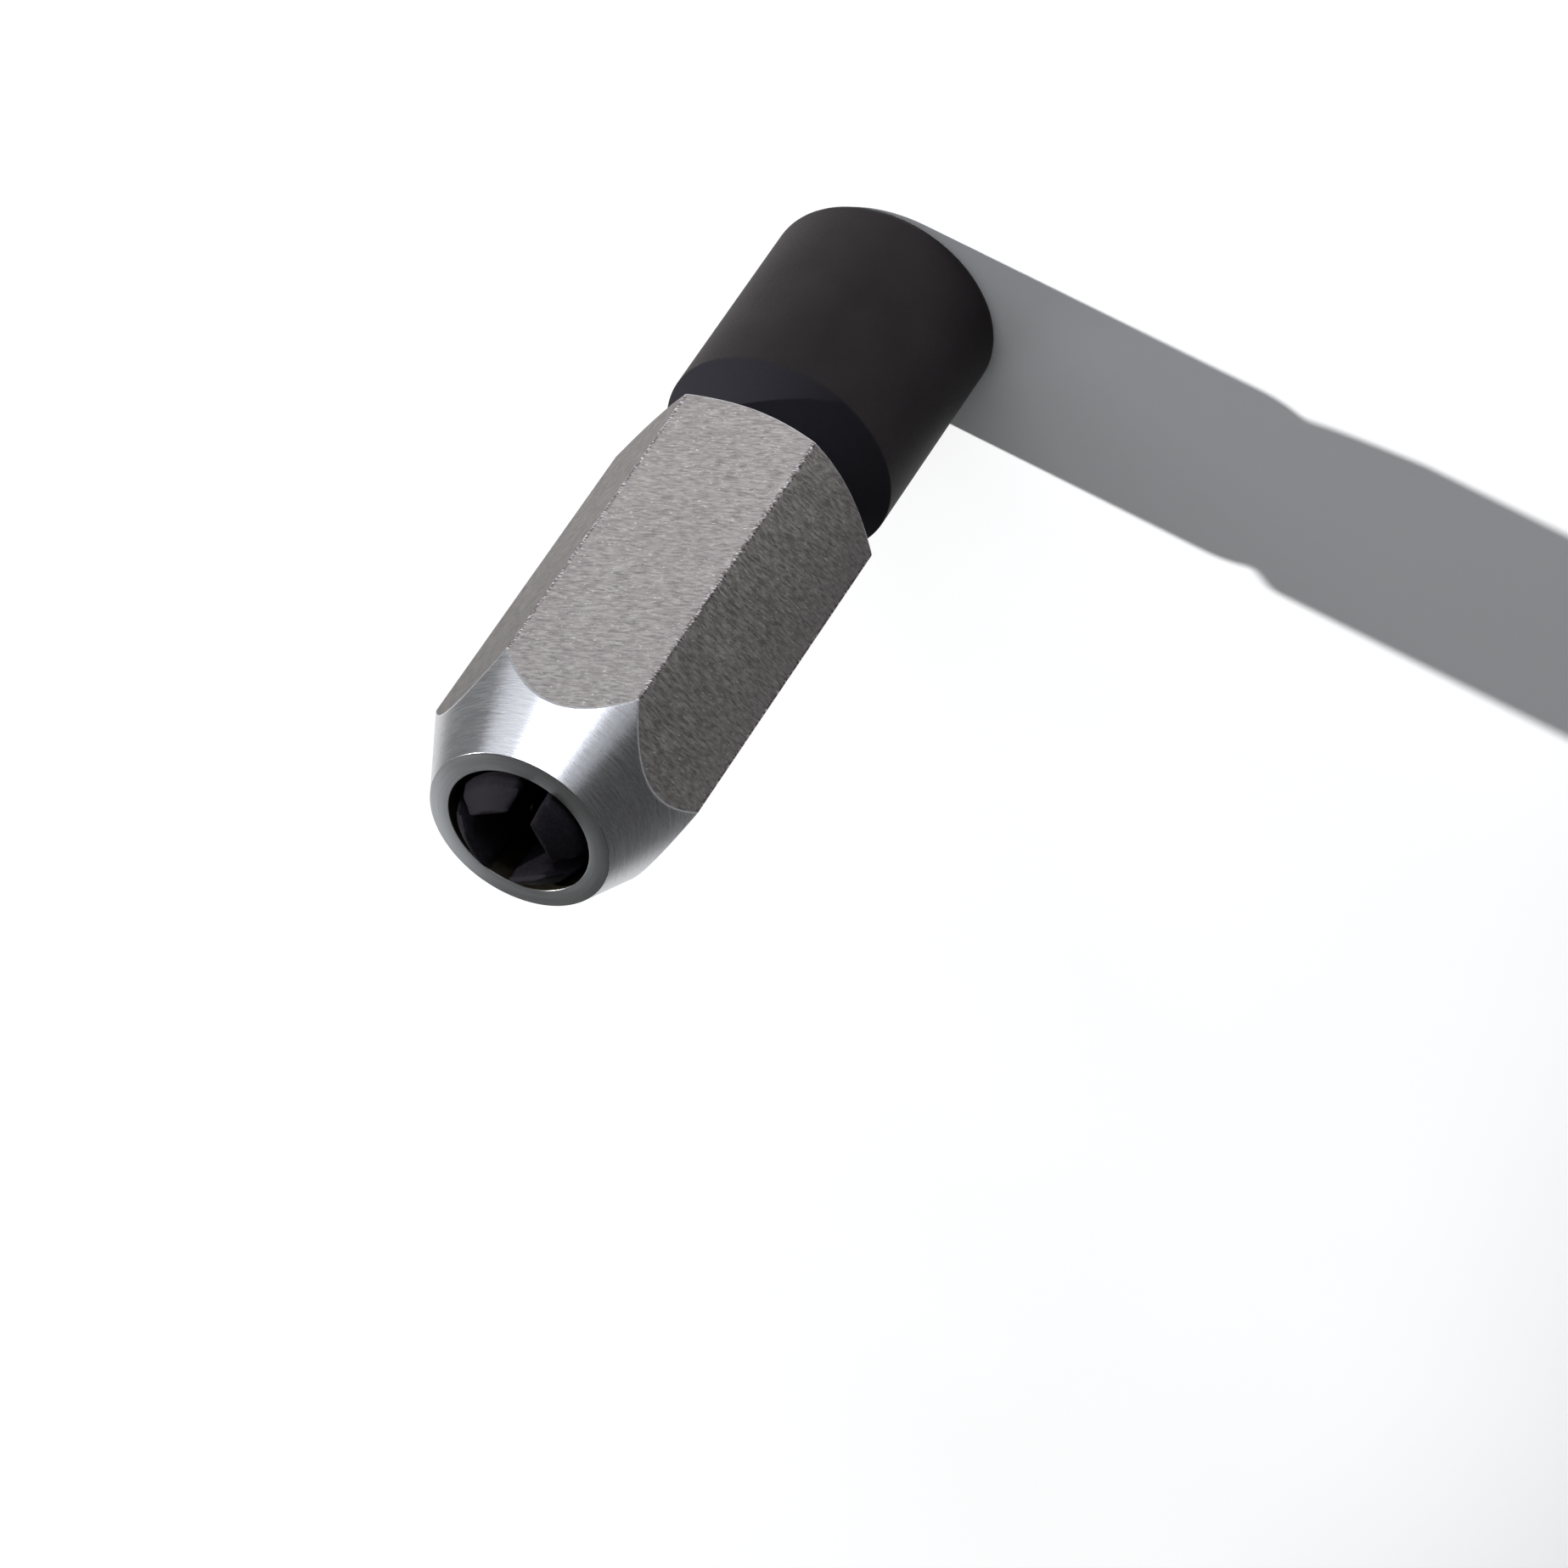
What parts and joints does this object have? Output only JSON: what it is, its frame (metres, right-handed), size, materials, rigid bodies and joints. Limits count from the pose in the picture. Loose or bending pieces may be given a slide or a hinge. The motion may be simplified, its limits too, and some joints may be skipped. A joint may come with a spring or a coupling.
{
  "type": "adjustable tap socket",
  "caption": "Square-drive tap socket: a black body with a female drive square and a bright hex nut that screws along it to close spring-loaded jaws on a tap's square.",
  "frame": {"origin": "centre of the drive end's face, on the tool's axis, where the socket stands", "axes": "+Z along the tool's axis from the drive end to the nose; jaws 1 to 4 lie on +X, +Y, -X and -Y, and the drive square's walls face the same way"},
  "size_m": [0.022, 0.0196, 0.0669],
  "materials": {
    "black_oxide_steel": "matte black oxide on turned steel",
    "satin_nut_steel": "satin ground flats with a turned bright nose",
    "black_jaw_steel": "black oxide, semi-matte, hardened",
    "spring_steel": "drawn wire, plain"
  },
  "bodies": {
    "drive_body": {"drive_body": "black_oxide_steel"},
    "retaining_ring": {"retaining_ring": "spring_steel"},
    "hex_nut": {"hex_nut": "satin_nut_steel"},
    "jaw_1": {"jaw_1": "black_jaw_steel", "jaw_spring_1": "spring_steel", "jaw_spring_2": "spring_steel"},
    "jaw_2": {"jaw_2": "black_jaw_steel", "jaw_spring_3": "spring_steel", "jaw_spring_4": "spring_steel"},
    "jaw_3": {"jaw_3": "black_jaw_steel", "jaw_spring_5": "spring_steel", "jaw_spring_6": "spring_steel"},
    "jaw_4": {"jaw_4": "black_jaw_steel", "jaw_spring_7": "spring_steel", "jaw_spring_8": "spring_steel"}
  },
  "joints": [
    {"name": "nut_travel", "type": "slide", "parent": "drive_body", "child": "retaining_ring", "axis": [0, 0, 1], "range_m": [-0.00165, 0.00169]},
    {"name": "nut_turn", "type": "hinge", "parent": "retaining_ring", "child": "hex_nut", "pos_m": [0, 0, 0.0268], "axis": [0, 0, 1], "range_deg": [-420.84, 430.86]},
    {"name": "jaw_1_slide", "type": "slide", "parent": "drive_body", "child": "jaw_1", "axis": [1, 0, 0], "range_m": [-0.0006, 0.00061], "deforming": ["jaw_spring_7", "jaw_spring_8"]},
    {"name": "jaw_2_slide", "type": "slide", "parent": "drive_body", "child": "jaw_2", "axis": [0, 1, 0], "range_m": [-0.0006, 0.00061], "deforming": ["jaw_spring_1", "jaw_spring_2"]},
    {"name": "jaw_3_slide", "type": "slide", "parent": "drive_body", "child": "jaw_3", "axis": [-1, 0, 0], "range_m": [-0.0006, 0.00061], "deforming": ["jaw_spring_3", "jaw_spring_4"]},
    {"name": "jaw_4_slide", "type": "slide", "parent": "drive_body", "child": "jaw_4", "axis": [0, -1, 0], "range_m": [-0.0006, 0.00061], "deforming": ["jaw_spring_5", "jaw_spring_6"]}
  ],
  "couplings": [
    {"joint": "nut_turn", "follows": "nut_travel", "rad_per_m": 4453},
    {"joint": "jaw_1_slide", "follows": "nut_travel", "ratio": 0.36397},
    {"joint": "jaw_2_slide", "follows": "nut_travel", "ratio": 0.36397},
    {"joint": "jaw_3_slide", "follows": "nut_travel", "ratio": 0.36397},
    {"joint": "jaw_4_slide", "follows": "nut_travel", "ratio": 0.36397}
  ]
}
